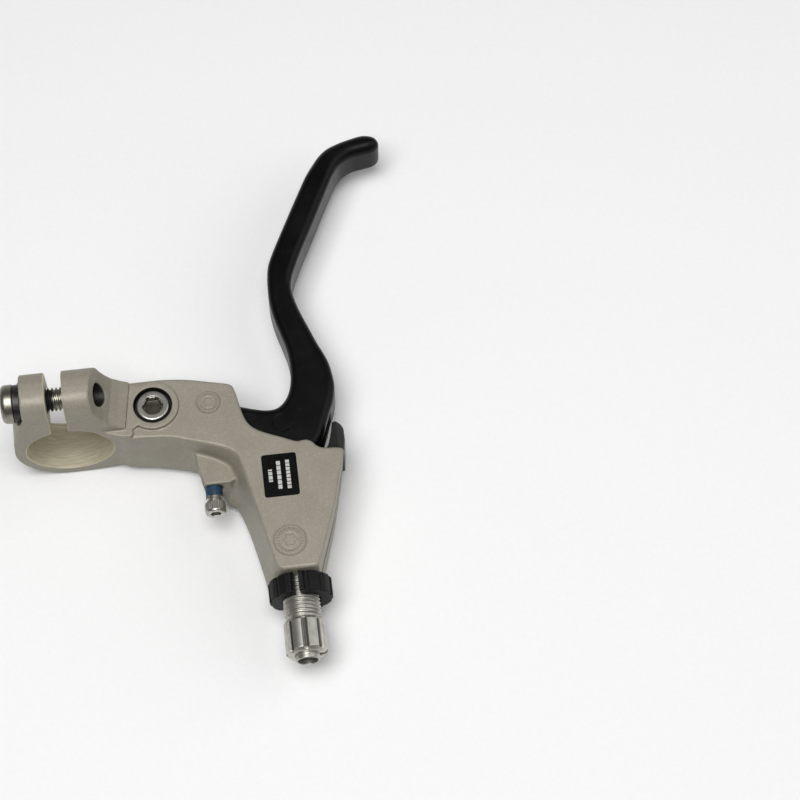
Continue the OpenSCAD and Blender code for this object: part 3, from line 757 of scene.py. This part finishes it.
carve("clamp_bolt_turned", (-14.9, -4.95, 12.3), (6.3, 4.95, 22.3), 0.13, clamp_bolt_field,
      "clamp_fastener", BOLT, ["clamp_bolt"])
carve("clamp_washer_disc", (-11.9, -4.75, 12.5), (-9.9, 4.75, 22.1), 0.13, washer_field,
      "clamp_carriage", DARK, ["clamp_washer"])
carve("pivot_bolt_head", (17.8, -4.8, -11.4), (26.6, 4, 8.8), 0.12, pivot_bolt_field,
      "bracket", PIVOT_STEEL, ["pivot_bolt"])
carve("pivot_nut_disc", (17.5, -5.1, -11.5), (26.9, 4.3, -9.5), 0.12, pivot_nut_field,
      "bracket", STEEL, ["pivot_nut"])
carve("reach_screw_turned", (32.6, -27.8, -4.5), (38, -8.5, 1), 0.09, reach_screw_field,
      "reach_adjuster", STEEL, ["reach_screw"])
carve("reach_screw_lock", (33, -23.7, -4), (37.6, -19.4, 0.5), 0.07, reach_patch_field,
      "reach_carriage", BLUE, ["reach_screw_patch"])


# ---------------------------------------------------------------- cable adjuster

def barrel_field(x, y, z):
    u, v = x - BARREL_X, z - Z_MID
    radius, angle = np.hypot(u, v), np.arctan2(v, u)
    thread = both(screw_thread(radius, angle, y, THREAD_R, 0.5, 1.0), span(y, -58.2, -37), 0.5)
    neck = both(radius - THREAD_R + 0.6, span(y, -59.5, -38))
    # broad ribs with a narrow groove between them, both ends turned down to a cone
    turn = fold(angle, FLUTES)
    flute = np.hypot(radius * np.cos(turn) - HEAD_R - 0.15, radius * np.sin(turn)) - 0.8
    from_end = np.minimum(y - HEAD_ENDS[0], HEAD_ENDS[1] - y)
    head = both(both(radius - HEAD_R, (radius - HEAD_R + 0.8 - from_end) * 0.7, 0.1), -from_end,
                0.15)
    head = without(head, flute, 0.12)
    barrel = np.minimum(np.minimum(thread, neck), head)
    barrel = without(barrel, radius - 1.3, 0.15)
    barrel = without(barrel, both(radius - 3.1, y + 62.7), 0.2)
    return without(barrel, both(np.abs(v) - 1, -u), 0.12)


def ferrule_field(x, y, z):
    radius = disc(x, z, (BARREL_X, Z_MID), 0)
    cap = both(radius - 3.05, span(y, -69.4, -62.75), 0.3)
    cap = without(cap, both(radius - 2.55, y + 63.8), 0.15)
    return without(cap, radius - 1.3, 0.15)


def lock_ring_field(x, y, z):
    u, v = x - BARREL_X, z - Z_MID
    radius, angle = np.hypot(u, v), np.arctan2(v, u)
    ring = both(radius - RING_R, span(y, -53.55, -48.35), 0.5)
    turn = fold(angle, 12, math.radians(-12))
    notch = np.hypot(radius * np.cos(turn) - RING_R - 0.25, radius * np.sin(turn)) - 0.8
    ring = without(ring, notch, 0.25)
    ring = without(ring, radius - THREAD_R - 0.08, 0.2)
    slot = math.radians(97)
    across = np.abs(-u * math.sin(slot) + v * math.cos(slot)) - 0.65
    toward = -(u * math.cos(slot) + v * math.sin(slot))
    return without(ring, both(across, toward), 0.15)


carve("barrel_turned", (49, -68.1, -7.1), (59.8, -36.9, 3.6), 0.156, barrel_field,
      "barrel", ALLOY, ["barrel_adjuster"])
carve("ferrule_turned", (51.3, -69.5, -4.9), (57.5, -62.7, 1.4), 0.09, ferrule_field,
      "barrel_carriage", ALLOY, ["housing_ferrule"])
carve("lock_ring_moulded", (46.3, -53.6, -9.8), (62.5, -48.3, 6.3), 0.13, lock_ring_field,
      "barrel_lock", RING_PLASTIC, ["lock_ring"])


# ---------------------------------------------------------------- parts kept from the CAD model

KEPT = {
    "pivot_washers": NYLON, "pivot_bushing_near": BRONZE, "pivot_bushing_far": BRONZE,
    "return_spring": STEEL, "cable_anchor": STEEL, "anchor_pin": BLACK_COAT,
    "anchor_clip": DARK, "reach_pad": STEEL}
for node_name, finish in KEPT.items():
    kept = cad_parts[node_name]
    kept.data.materials.clear()
    kept.data.materials.append(finish)


# ---------------------------------------------------------------- studio

def area_light(name, place, target, size, power, tint=(1.0, 1.0, 1.0)):
    data = bpy.data.lights.new(name, "AREA")
    data.shape = "RECTANGLE"
    data.size, data.size_y = size
    data.energy = power
    data.color = tint
    lamp = bpy.data.objects.new(name, data)
    lamp.location = place
    lamp.rotation_euler = (Vector(target) - Vector(place)).to_track_quat("-Z", "Y").to_euler()
    bpy.context.scene.collection.objects.link(lamp)


low, high = cad_box
centre = (low + high) / 2
size = (high - low).length

# floor that curves up far behind the lever
reach, rise = 6 * size, 2.5 * size
rows = [(-reach, 0.0), (reach * 0.55, 0.0)]
rows += [(reach * 0.55 + rise * math.sin(a), rise * (1 - math.cos(a)))
         for a in np.linspace(0.1, math.pi / 2, 12)]
sweep = [(x, centre.y + y, low.z - 0.0002 + z) for y, z in rows
         for x in (centre.x - reach, centre.x + reach)]
mesh = bpy.data.meshes.new("floor")
mesh.from_pydata(sweep, [], [(2 * i, 2 * i + 1, 2 * i + 3, 2 * i + 2)
                             for i in range(len(rows) - 1)])
mesh.polygons.foreach_set("use_smooth", [True] * len(mesh.polygons))
mesh.materials.append(paper())
floor = bpy.data.objects.new("floor", mesh)
bpy.context.scene.collection.objects.link(floor)

world = bpy.data.worlds.new("studio")
bpy.context.scene.world = world
world.use_nodes = True
world.node_tree.nodes["Background"].inputs["Color"].default_value = (1.0, 1.0, 1.0, 1.0)
world.node_tree.nodes["Background"].inputs["Strength"].default_value = 0.04

area_light("top", centre + Vector((-0.12, -0.20, 0.94)), centre, (0.6, 0.6), 9.0)
area_light("right", centre + Vector((0.75, 0.0, 0.60)), centre, (0.9, 0.9), 2.9)

bpy.context.scene.view_settings.view_transform = "Standard"

CAMERA_PLACE = Vector((52.478, -276.504, 592.064)) * MM
CAMERA_AIM = Vector((85.004, -3.735, 2.964)) * MM
lens = bpy.data.cameras.new("camera")
lens.sensor_width = 36
lens.lens = 114.08
lens.clip_start = 0.01
camera = bpy.data.objects.new("camera", lens)
camera.location = CAMERA_PLACE
camera.rotation_euler = (CAMERA_AIM - CAMERA_PLACE).to_track_quat("-Z", "Y").to_euler()
bpy.context.scene.collection.objects.link(camera)
bpy.context.scene.camera = camera
